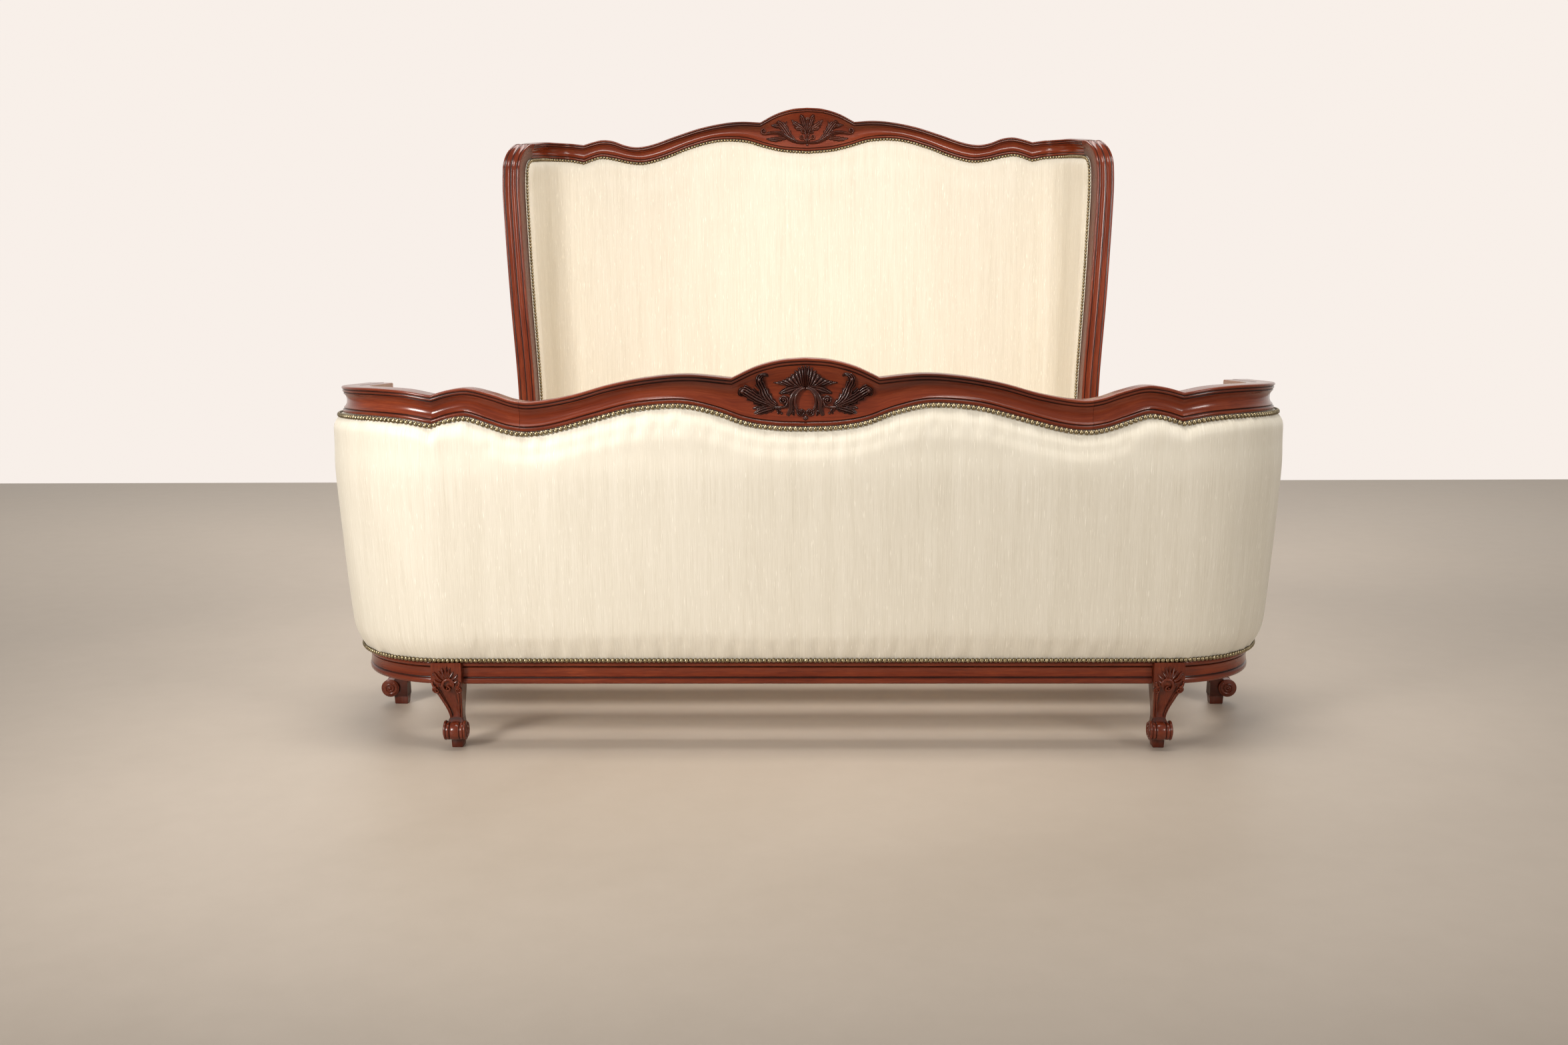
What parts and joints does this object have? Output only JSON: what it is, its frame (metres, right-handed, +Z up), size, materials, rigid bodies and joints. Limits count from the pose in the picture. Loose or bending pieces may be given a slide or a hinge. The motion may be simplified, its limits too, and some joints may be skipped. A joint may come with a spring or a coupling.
{
  "type": "upholstered sleigh bed",
  "caption": "Double bed with a curved, winged headboard and a lower wrap-round footboard, padded in pale silk inside a carved dark red wood frame, on scroll legs with a slatted base.",
  "frame": {"origin": "on the floor, under the middle of the overall box", "axes": "+Z up; +Y from the footboard to the headboard; +X to the right of a person who stands at the foot and looks along the bed"},
  "size_m": [2.066, 2.2, 1.57],
  "materials": {
    "mahogany": "polished dark red mahogany stain with darkened grooves",
    "carving": "hand carved, darker stain, satin",
    "silk": "slub silk with fine upright streaks",
    "nails": "antiqued brass domed heads",
    "beech": "plain, unfinished",
    "pine": "planed, unfinished",
    "steel": "zinc plated"
  },
  "bodies": {
    "root": {"foot_crest_rail": "mahogany", "foot_top_rail_left": "mahogany", "foot_top_rail_right": "mahogany", "foot_carving": "carving", "foot_base_rail": "mahogany", "foot_base_corner_left": "mahogany", "foot_base_corner_right": "mahogany", "foot_outer_upholstery": "silk", "foot_frame": "beech", "foot_inner_upholstery": "silk", "foot_nails_top": "nails", "foot_nails_bottom": "nails", "foot_end_post_left": "mahogany", "foot_end_post_right": "mahogany", "foot_leg_front_left": "mahogany", "foot_leg_corner_left": "mahogany", "head_leg_front_left": "mahogany", "head_leg_rear_left": "mahogany", "foot_leg_front_right": "mahogany", "foot_leg_corner_right": "mahogany", "head_leg_front_right": "mahogany", "head_leg_rear_right": "mahogany", "head_crest_rail": "mahogany", "head_top_rail_left": "mahogany", "head_top_rail_right": "mahogany", "head_carving": "carving", "head_wing_post_left": "mahogany", "head_wing_post_right": "mahogany", "head_base_rail": "mahogany", "head_base_corner_left": "mahogany", "head_base_corner_right": "mahogany", "head_inner_upholstery": "silk", "head_frame": "beech", "head_outer_upholstery": "silk", "head_nails": "nails", "side_rail_left": "mahogany", "side_upholstery_left": "silk", "side_cleat_left": "beech", "foot_rail_hook_left": "steel", "head_rail_hook_left": "steel", "side_rail_right": "mahogany", "side_upholstery_right": "silk", "side_cleat_right": "beech", "foot_rail_hook_right": "steel", "head_rail_hook_right": "steel", "cross_bar_1": "pine", "cross_bar_2": "pine", "cross_bar_3": "pine", "base_batten_left": "pine", "base_batten_right": "pine", "slat_01": "pine", "slat_02": "pine", "slat_03": "pine", "slat_04": "pine", "slat_05": "pine", "slat_06": "pine", "slat_07": "pine", "slat_08": "pine", "slat_09": "pine", "slat_10": "pine"}
  },
  "joints": []
}
